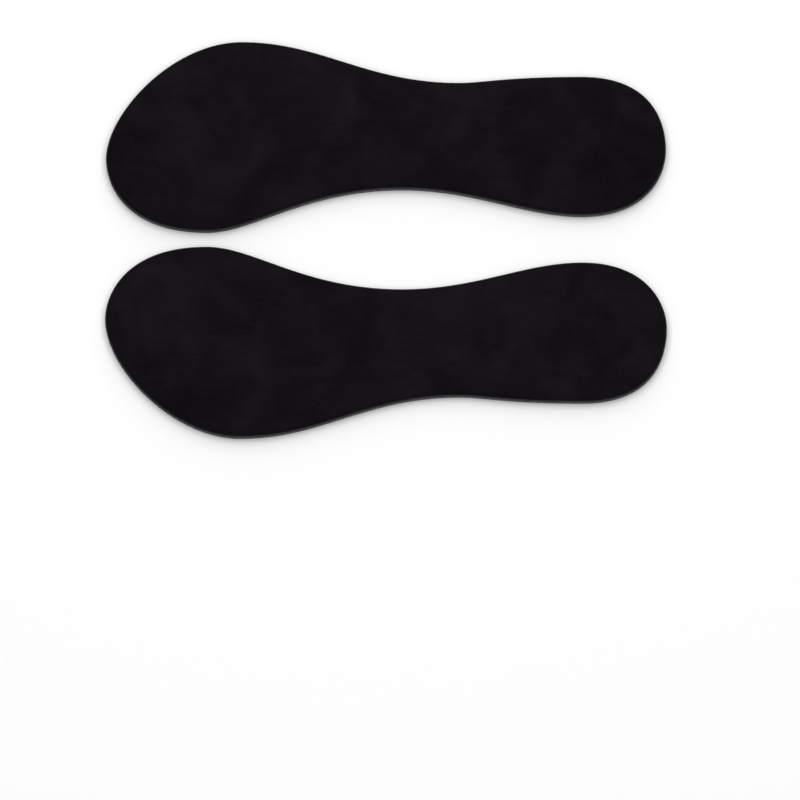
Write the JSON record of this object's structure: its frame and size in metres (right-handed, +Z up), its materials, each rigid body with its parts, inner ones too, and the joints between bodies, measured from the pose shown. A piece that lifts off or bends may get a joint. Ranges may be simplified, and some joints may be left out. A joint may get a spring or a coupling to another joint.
{
  "type": "cushioned insole pair",
  "caption": "Pair of three-quarter-length cushioned shoe insoles with a napped cover, a foam core with gel and arch pads, and grip patches beneath; each bends behind the ball.",
  "frame": {"origin": "middle of the pair's footprint, on the surface that the insoles lie on", "axes": "+X from the toe ends to the heel ends, +Y from the left insole to the right one, +Z up through the cover"},
  "size_m": [0.18, 0.13, 0.0057],
  "materials": {
    "cover": "matte",
    "foam": "matte",
    "base": "matte",
    "gel": "gloss",
    "arch_foam": "matte",
    "grip": "satin"
  },
  "bodies": {
    "right_front": {"right_cover_front": "cover", "right_foam_front": "foam", "right_base_front": "base", "right_ball_gel_pad": "gel", "right_ball_grip": "grip"},
    "right_rear": {"right_cover_rear": "cover", "right_foam_rear": "foam", "right_base_rear": "base", "right_heel_gel_pad": "gel", "right_arch_pad": "arch_foam", "right_heel_grip": "grip"},
    "left_front": {"left_cover_front": "cover", "left_foam_front": "foam", "left_base_front": "base", "left_ball_gel_pad": "gel", "left_ball_grip": "grip"},
    "left_rear": {"left_cover_rear": "cover", "left_foam_rear": "foam", "left_base_rear": "base", "left_heel_gel_pad": "gel", "left_arch_pad": "arch_foam", "left_heel_grip": "grip"}
  },
  "joints": [
    {"name": "right_ball_flex", "type": "hinge", "parent": "right_front", "child": "right_rear", "pos_m": [-0.026, 0.03375, 0.0051], "axis": [-0.1733, -0.9849, 0], "range_deg": [0, 45], "stiffness_Nm_per_rad": 0.02},
    {"name": "pair_spacing", "type": "slide", "parent": "right_front", "child": "left_front", "axis": [0, -1, 0], "range_m": [0, 0.06]},
    {"name": "left_ball_flex", "type": "hinge", "parent": "left_front", "child": "left_rear", "pos_m": [-0.026, -0.03375, 0.0051], "axis": [0.1733, -0.9849, 0], "range_deg": [0, 45], "stiffness_Nm_per_rad": 0.02}
  ]
}
